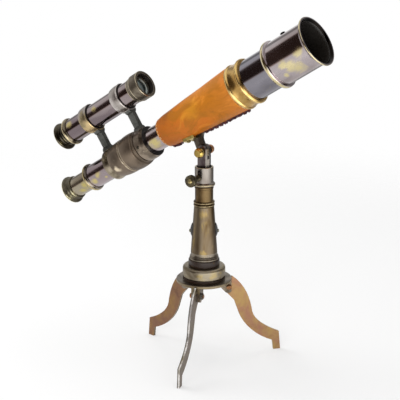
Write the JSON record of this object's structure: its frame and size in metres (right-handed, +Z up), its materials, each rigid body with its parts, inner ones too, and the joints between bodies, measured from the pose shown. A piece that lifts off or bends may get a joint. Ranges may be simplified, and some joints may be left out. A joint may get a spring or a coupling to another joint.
{
  "type": "desk telescope on tripod stand",
  "caption": "Brass desk telescope with a leather-covered barrel and a parallel finder tube, tilting in a fork on a turned pillar with folding S-shaped legs.",
  "frame": {"origin": "on the pillar's axis at the surface that the three feet stand on", "axes": "+Z up along the pillar, +X the level direction in which the telescope points"},
  "size_m": [0.2428, 0.1075, 0.2746],
  "materials": {
    "objective_lens": "gloss",
    "lens_cell": "gloss",
    "lens_ring": "polished",
    "objective_tube": "polished",
    "sunshade": "polished",
    "guide_screw": "gloss",
    "ferrule": "polished",
    "main_barrel": "satin",
    "leather_sleeve": "satin",
    "rear_tube": "polished",
    "turned_body": "satin",
    "collar_screws": "gloss",
    "front_link": "satin",
    "rear_link": "satin",
    "main_guide_ring": "polished",
    "main_draw_tube": "polished",
    "main_eye_cup": "satin",
    "main_eye_lens": "gloss",
    "finder_tube": "polished",
    "finder_hood": "satin",
    "finder_lens": "gloss",
    "finder_lens_ring": "polished",
    "finder_guide_ring": "polished",
    "finder_draw_tube": "polished",
    "finder_eye_cup": "satin",
    "finder_eye_lens": "gloss",
    "saddle": "polished",
    "saddle_screws": "polished",
    "tilt_tongue": "satin",
    "fork_post": "satin",
    "tilt_bolt": "satin",
    "bolt_washers": "gloss",
    "tilt_knob": "polished",
    "thumb_screw": "gloss",
    "thumb_cap": "polished",
    "socket": "satin",
    "column": "satin",
    "pillar": "satin",
    "side_keys": "gloss",
    "key_screws": "satin",
    "neck_ring": "gloss",
    "base_drum": "satin",
    "spacer_ring": "gloss",
    "leg_bracket": "satin",
    "centre_bolt": "satin",
    "right_leg": "satin",
    "rear_leg": "satin",
    "front_leg": "satin",
    "leg_pins": "satin",
    "pin_nuts": "satin"
  },
  "bodies": {
    "base": {"leg_bracket": "leg_bracket", "spacer_ring": "spacer_ring", "base_drum": "base_drum", "neck_ring": "neck_ring", "pillar": "pillar", "column": "column", "socket": "socket", "side_keys": "side_keys", "key_screws": "key_screws", "centre_bolt": "centre_bolt", "leg_pins": "leg_pins", "pin_nuts": "pin_nuts"},
    "right_leg": {"right_leg": "right_leg"},
    "rear_leg": {"rear_leg": "rear_leg"},
    "front_leg": {"front_leg": "front_leg"},
    "post": {"fork_post": "fork_post", "tilt_bolt": "tilt_bolt", "bolt_washers": "bolt_washers"},
    "thumb": {"thumb_screw": "thumb_screw", "thumb_cap": "thumb_cap"},
    "knob": {"tilt_knob": "tilt_knob"},
    "telescope": {"saddle": "saddle", "saddle_screws": "saddle_screws", "tilt_tongue": "tilt_tongue", "front_link": "front_link", "rear_link": "rear_link", "collar_screws": "collar_screws", "rear_tube": "rear_tube", "turned_body": "turned_body", "main_barrel": "main_barrel", "leather_sleeve": "leather_sleeve", "ferrule": "ferrule", "objective_tube": "objective_tube", "guide_screw": "guide_screw", "lens_cell": "lens_cell", "objective_lens": "objective_lens", "lens_ring": "lens_ring", "main_guide_ring": "main_guide_ring", "finder_tube": "finder_tube", "finder_hood": "finder_hood", "finder_lens": "finder_lens", "finder_lens_ring": "finder_lens_ring", "finder_guide_ring": "finder_guide_ring"},
    "sunshade": {"sunshade": "sunshade"},
    "main_eyepiece": {"main_draw_tube": "main_draw_tube", "main_eye_cup": "main_eye_cup", "main_eye_lens": "main_eye_lens"},
    "finder_eyepiece": {"finder_draw_tube": "finder_draw_tube", "finder_eye_cup": "finder_eye_cup", "finder_eye_lens": "finder_eye_lens"}
  },
  "joints": [
    {"name": "right_leg_fold", "type": "hinge", "parent": "base", "child": "right_leg", "pos_m": [0.01345, 0.01384, 0.0578], "axis": [-0.7169, 0.6972, 0], "range_deg": [0, 46]},
    {"name": "rear_leg_fold", "type": "hinge", "parent": "base", "child": "rear_leg", "pos_m": [-0.01885, 0.00414, 0.0578], "axis": [-0.2147, -0.9767, 0], "range_deg": [0, 46]},
    {"name": "front_leg_fold", "type": "hinge", "parent": "base", "child": "front_leg", "pos_m": [0.0047, -0.01872, 0.0578], "axis": [0.9699, 0.2436, 0], "range_deg": [0, 46]},
    {"name": "post_slide", "type": "slide", "parent": "base", "child": "post", "axis": [0, 0, 1], "range_m": [0, 0.004]},
    {"name": "thumb_turn", "type": "hinge", "parent": "post", "child": "thumb", "pos_m": [0, -0.0168, 0.14845], "axis": [0, -1, 0], "range_deg": [-180, 180]},
    {"name": "knob_turn", "type": "hinge", "parent": "post", "child": "knob", "pos_m": [0, -0.0076, 0.1677], "axis": [0, -1, 0], "range_deg": [-180, 180]},
    {"name": "telescope_tilt", "type": "hinge", "parent": "post", "child": "telescope", "pos_m": [0, 0, 0.1677], "axis": [0, -1, 0], "range_deg": [-70, 44]},
    {"name": "sunshade_slide", "type": "slide", "parent": "telescope", "child": "sunshade", "axis": [0.842, 0, 0.5395], "range_m": [-0.0075, 0.006]},
    {"name": "main_focus", "type": "slide", "parent": "telescope", "child": "main_eyepiece", "axis": [-0.842, 0, -0.5395], "range_m": [-0.016, 0.012]},
    {"name": "finder_focus", "type": "slide", "parent": "telescope", "child": "finder_eyepiece", "axis": [-0.842, 0, -0.5395], "range_m": [-0.0015, 0.01]}
  ]
}
